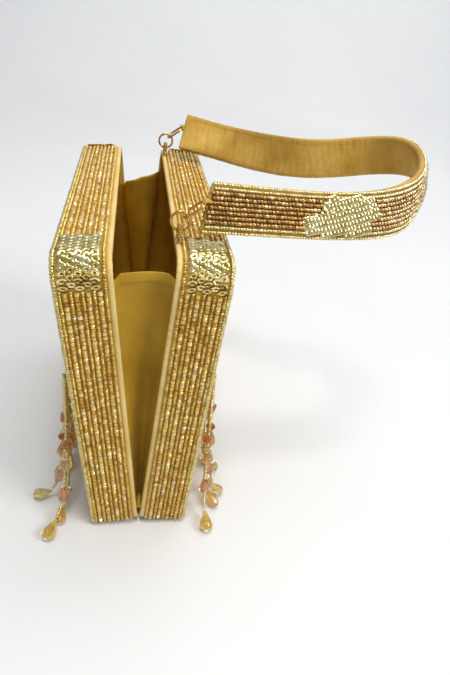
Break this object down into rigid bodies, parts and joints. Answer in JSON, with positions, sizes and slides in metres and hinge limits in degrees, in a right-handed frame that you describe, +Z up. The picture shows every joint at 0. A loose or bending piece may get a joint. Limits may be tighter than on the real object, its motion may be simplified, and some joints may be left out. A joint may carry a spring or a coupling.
{
  "type": "evening bag",
  "caption": "Hard-sided beaded evening bag: hinged half shells standing open, satin gussets, a stiff strap handle on rings and bead tassels.",
  "frame": {"origin": "on the table, under the middle of the hinge line", "axes": "+X across the opening towards the folded handle, +Y along the hinge, +Z up"},
  "size_m": [0.1969, 0.187, 0.1829],
  "materials": {
    "stiff_board": "bare grey board",
    "satin": "gold satin, soft sheen",
    "beading": "glass beads sewn in rows on fabric",
    "sequins": "metallic sequins",
    "seed_beads": "silver-lined seed beads",
    "foam": "thin foam",
    "magnet": "plated magnet",
    "gilt_metal": "polished gilt",
    "crystal_beads": "faceted glass drops"
  },
  "bodies": {
    "right_shell": {"right_shell_board": "stiff_board", "right_satin_lining": "satin", "right_rim_binding": "satin", "right_band_cover": "beading", "right_sequin_patches": "sequins", "right_edge_cord": "seed_beads", "right_face_padding": "foam", "right_face_cover": "beading", "right_fringe_header": "seed_beads", "right_magnets": "magnet", "near_ring_loop": "seed_beads", "far_ring_loop": "seed_beads", "fabric_hinge": "satin", "near_gusset": "satin", "far_gusset": "satin"},
    "left_shell": {"left_shell_board": "stiff_board", "left_satin_lining": "satin", "left_rim_binding": "satin", "left_band_cover": "beading", "left_sequin_patches": "sequins", "left_edge_cord": "seed_beads", "left_face_padding": "foam", "left_face_cover": "beading", "left_fringe_header": "seed_beads", "left_magnets": "magnet"},
    "right_fringe": {"right_tassel_1": "crystal_beads", "right_tassel_2": "crystal_beads", "right_tassel_3": "crystal_beads", "right_tassel_4": "crystal_beads", "right_tassel_5": "crystal_beads", "right_tassel_6": "crystal_beads", "right_tassel_7": "crystal_beads"},
    "left_fringe": {"left_tassel_1": "crystal_beads", "left_tassel_2": "crystal_beads", "left_tassel_3": "crystal_beads", "left_tassel_4": "crystal_beads", "left_tassel_5": "crystal_beads", "left_tassel_6": "crystal_beads", "left_tassel_7": "crystal_beads"},
    "rings": {"near_lower_ring": "gilt_metal", "near_upper_ring": "gilt_metal", "far_lower_ring": "gilt_metal", "far_upper_ring": "gilt_metal"},
    "handle": {"handle_core": "stiff_board", "handle_satin_lining": "satin", "handle_beaded_cover": "beading", "handle_sequin_patch": "sequins", "handle_near_tab": "beading", "handle_far_tab": "beading"}
  },
  "joints": [
    {"name": "shell_hinge", "type": "hinge", "parent": "right_shell", "child": "left_shell", "pos_m": [0, 0, 0.00195], "axis": [0, 1, 0], "range_deg": [0, 9.3], "deforming": ["fabric_hinge", "near_gusset", "far_gusset"]},
    {"name": "ring_swing", "type": "hinge", "parent": "right_shell", "child": "rings", "pos_m": [0.01502, -0.07, 0.16687], "axis": [0, 1, 0], "range_deg": [-85.2, 0]},
    {"name": "handle_swing", "type": "hinge", "parent": "rings", "child": "handle", "pos_m": [0.0251, -0.07, 0.17784], "axis": [0, 1, 0], "range_deg": [-94.8, 0]},
    {"name": "right_fringe_swing", "type": "hinge", "parent": "right_shell", "child": "right_fringe", "pos_m": [0.03521, 0, 0.08954], "axis": [0, 1, 0], "range_deg": [-25, 0]},
    {"name": "left_fringe_swing", "type": "hinge", "parent": "left_shell", "child": "left_fringe", "pos_m": [-0.03521, 0, 0.08954], "axis": [0, 1, 0], "range_deg": [0, 25]}
  ]
}
